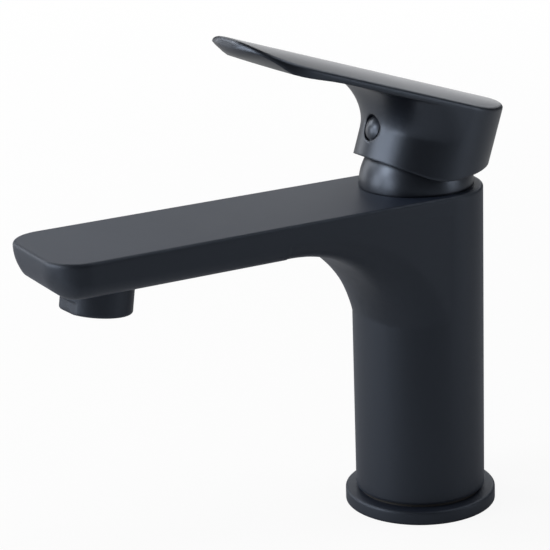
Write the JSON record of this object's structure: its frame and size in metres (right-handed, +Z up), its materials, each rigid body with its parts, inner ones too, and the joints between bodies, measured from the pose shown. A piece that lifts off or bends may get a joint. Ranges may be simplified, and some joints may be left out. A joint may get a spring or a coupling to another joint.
{
  "type": "single-lever basin mixer tap",
  "caption": "Single-lever basin mixer with a round column, a straight flat spout, an angled aerator and a tilting, turning top lever on a ceramic cartridge.",
  "frame": {"origin": "centre of the foot ring's underside, on the column's axis", "axes": "+Z up along the column; the spout points along -Y; +X is to the right when looking along +Y from the spout's tip"},
  "size_m": [0.0548, 0.179, 0.1785],
  "materials": {
    "black_coat": "matt soft-touch powder coat",
    "black_gloss": "gloss",
    "black_rubber": "matt",
    "brass": "turned",
    "steel": "turned",
    "ceramic": "lapped",
    "white_plastic": "moulded",
    "red_plastic": "moulded",
    "grey_plastic": "moulded"
  },
  "bodies": {
    "faucet_body": {"body_casting": "black_coat", "base_flange": "black_coat", "flange_seal": "black_rubber", "base_gasket": "black_rubber", "inlet_block": "brass", "inlet_block_seals": "black_rubber", "dome_cover": "black_coat", "dome_ring": "black_rubber", "cartridge_nut": "brass", "cartridge_housing": "white_plastic", "cartridge_base": "white_plastic", "port_seals": "black_rubber", "disc_seals": "black_rubber", "fixed_disc": "ceramic", "hot_limit_ring": "red_plastic", "aerator_housing": "black_coat", "aerator_washer": "black_rubber", "aerator_screen": "grey_plastic", "aerator_diffuser": "grey_plastic"},
    "rotor": {"cartridge_rotor": "white_plastic", "rotor_seal": "black_rubber", "spindle_pin": "steel"},
    "lever": {"spindle": "brass", "handle": "black_coat", "handle_set_screw": "steel", "handle_plug": "black_gloss"},
    "slider": {"disc_carrier": "white_plastic", "moving_disc": "ceramic"}
  },
  "joints": [
    {"name": "temperature_turn", "type": "hinge", "parent": "faucet_body", "child": "rotor", "pos_m": [0, 0, 0.121], "axis": [0, 0, 1], "range_deg": [-50, 50]},
    {"name": "lever_lift", "type": "hinge", "parent": "rotor", "child": "lever", "pos_m": [0, 0, 0.121], "axis": [1, 0, 0], "range_deg": [0, 20]},
    {"name": "disc_slide", "type": "slide", "parent": "rotor", "child": "slider", "axis": [0, 1, 0], "range_m": [0, 0.00696]}
  ],
  "couplings": [
    {"joint": "disc_slide", "follows": "lever_lift", "m_per_rad": 0.019899}
  ]
}
